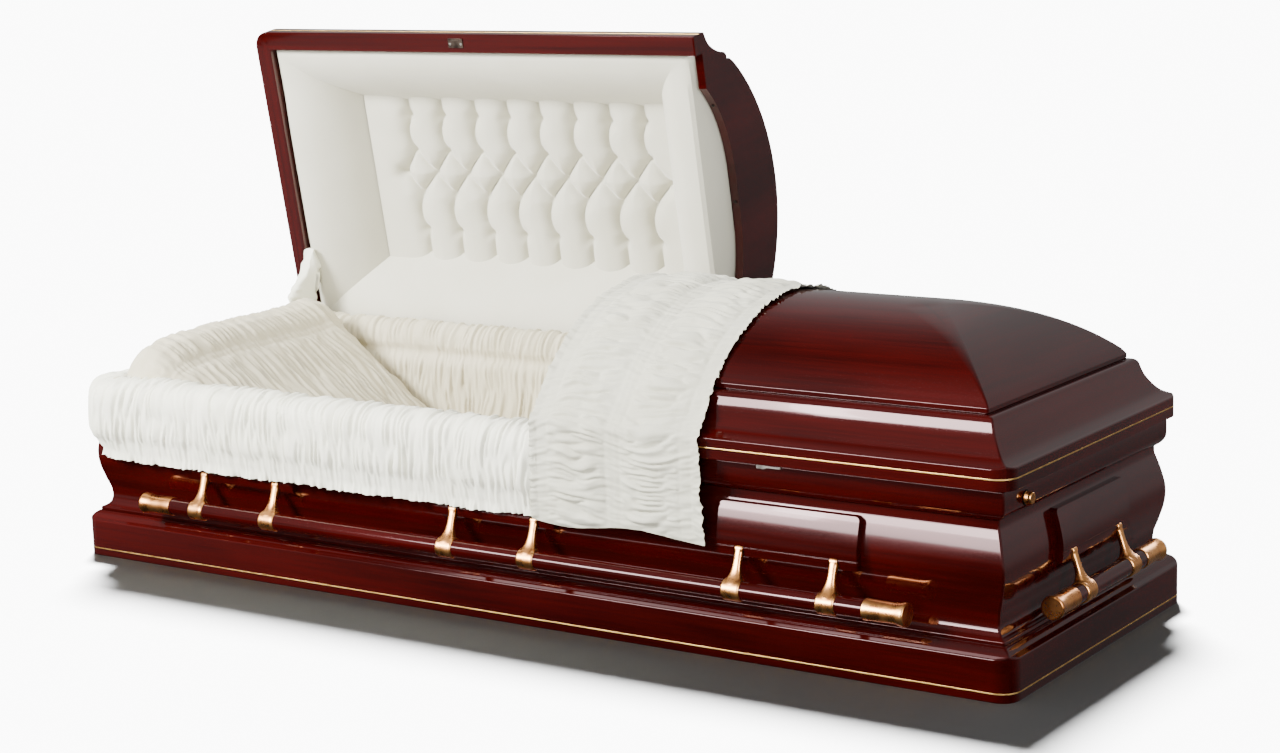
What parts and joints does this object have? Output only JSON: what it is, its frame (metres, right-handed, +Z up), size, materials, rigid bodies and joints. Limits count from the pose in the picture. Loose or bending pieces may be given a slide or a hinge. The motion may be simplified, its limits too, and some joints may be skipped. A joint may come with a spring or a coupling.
{
  "type": "funeral casket",
  "caption": "Full-size wooden casket with a split lid open at the head end, swing-bar handles, gathered white lining, pillow and a draped overlay.",
  "frame": {"origin": "centre of the base's underside, on the floor", "axes": "+X along the length towards the foot end, +Y across towards the hinge side, +Z up"},
  "size_m": [2.185, 0.9233, 1.0533],
  "materials": {
    "mahogany": "dark red mahogany stain under a deep clear gloss lacquer",
    "copper_hardware": "brushed copper plate with darker antiqued recesses",
    "gold_line": "bright gold inlay line",
    "zinc_fitting": "zinc-plated steel",
    "lining_cloth": "warm off-white crepe, gathered and tufted",
    "throw_cloth": "cool off-white crepe, gathered in bands"
  },
  "bodies": {
    "casket": {"base_moulding_front": "mahogany", "base_moulding_back": "mahogany", "base_moulding_head": "mahogany", "base_moulding_foot": "mahogany", "bottom_board": "mahogany", "side_panel_front": "mahogany", "side_panel_back": "mahogany", "end_panel_head": "mahogany", "end_panel_foot": "mahogany", "top_rail_front": "mahogany", "top_rail_back": "mahogany", "top_rail_head": "mahogany", "top_rail_foot": "mahogany", "handle_lug_front_head": "mahogany", "handle_lug_front_middle": "mahogany", "handle_lug_front_foot": "mahogany", "handle_lug_back_head": "mahogany", "handle_lug_back_middle": "mahogany", "handle_lug_back_foot": "mahogany", "handle_lug_head": "mahogany", "handle_lug_foot": "mahogany", "memorial_tube_cap": "copper_hardware", "base_gold_line": "gold_line", "lid_hinge_strip": "zinc_fitting", "bed_mattress": "lining_cloth", "pillow": "lining_cloth", "bed_lining": "lining_cloth", "lid_stay_sleeve": "lining_cloth"},
    "head_lid": {"head_lid_rim_front": "mahogany", "head_lid_rim_back": "mahogany", "head_lid_rim_head": "mahogany", "head_lid_crown": "mahogany", "head_lid_header_board": "mahogany", "head_lid_gold_line": "gold_line", "head_lid_catch": "zinc_fitting", "head_lid_lining": "lining_cloth", "head_lid_tufted_panel": "lining_cloth"},
    "foot_lid": {"foot_lid_rim_front": "mahogany", "foot_lid_rim_back": "mahogany", "foot_lid_rim_foot": "mahogany", "foot_lid_crown": "mahogany", "foot_lid_header_board": "mahogany", "foot_lid_gold_line": "gold_line", "overlay_throw": "throw_cloth"},
    "front_handle": {"front_handle_bar": "mahogany", "front_handle_cap_head": "copper_hardware", "front_handle_cap_foot": "copper_hardware", "front_handle_arm_1": "copper_hardware", "front_handle_arm_2": "copper_hardware", "front_handle_arm_3": "copper_hardware", "front_handle_arm_4": "copper_hardware", "front_handle_arm_5": "copper_hardware", "front_handle_arm_6": "copper_hardware"},
    "foot_handle": {"foot_handle_bar": "mahogany", "foot_handle_cap_front": "copper_hardware", "foot_handle_cap_back": "copper_hardware", "foot_handle_arm_1": "copper_hardware", "foot_handle_arm_2": "copper_hardware"},
    "back_handle": {"back_handle": "mahogany"},
    "head_handle": {"head_handle": "mahogany"}
  },
  "joints": [
    {"name": "head_lid_hinge", "type": "hinge", "parent": "casket", "child": "head_lid", "pos_m": [0, 0.34675, 0.3547], "axis": [1, 0, 0], "range_deg": [0, 79.9], "deforming": ["bed_lining", "pillow", "lid_stay_sleeve"]},
    {"name": "foot_lid_hinge", "type": "hinge", "parent": "casket", "child": "foot_lid", "pos_m": [0, 0.34675, 0.3547], "axis": [1, 0, 0], "range_deg": [-79.9, 0]},
    {"name": "front_handle_hinge", "type": "hinge", "parent": "casket", "child": "front_handle", "pos_m": [0, -0.3485, 0.199], "axis": [-1, 0, 0], "range_deg": [0, 72]},
    {"name": "back_handle_hinge", "type": "hinge", "parent": "casket", "child": "back_handle", "pos_m": [0, 0.3485, 0.199], "axis": [1, 0, 0], "range_deg": [0, 72]},
    {"name": "foot_handle_hinge", "type": "hinge", "parent": "casket", "child": "foot_handle", "pos_m": [1.049, 0, 0.199], "axis": [0, -1, 0], "range_deg": [0, 72]},
    {"name": "head_handle_hinge", "type": "hinge", "parent": "casket", "child": "head_handle", "pos_m": [-1.049, 0, 0.199], "axis": [0, 1, 0], "range_deg": [0, 72]}
  ]
}
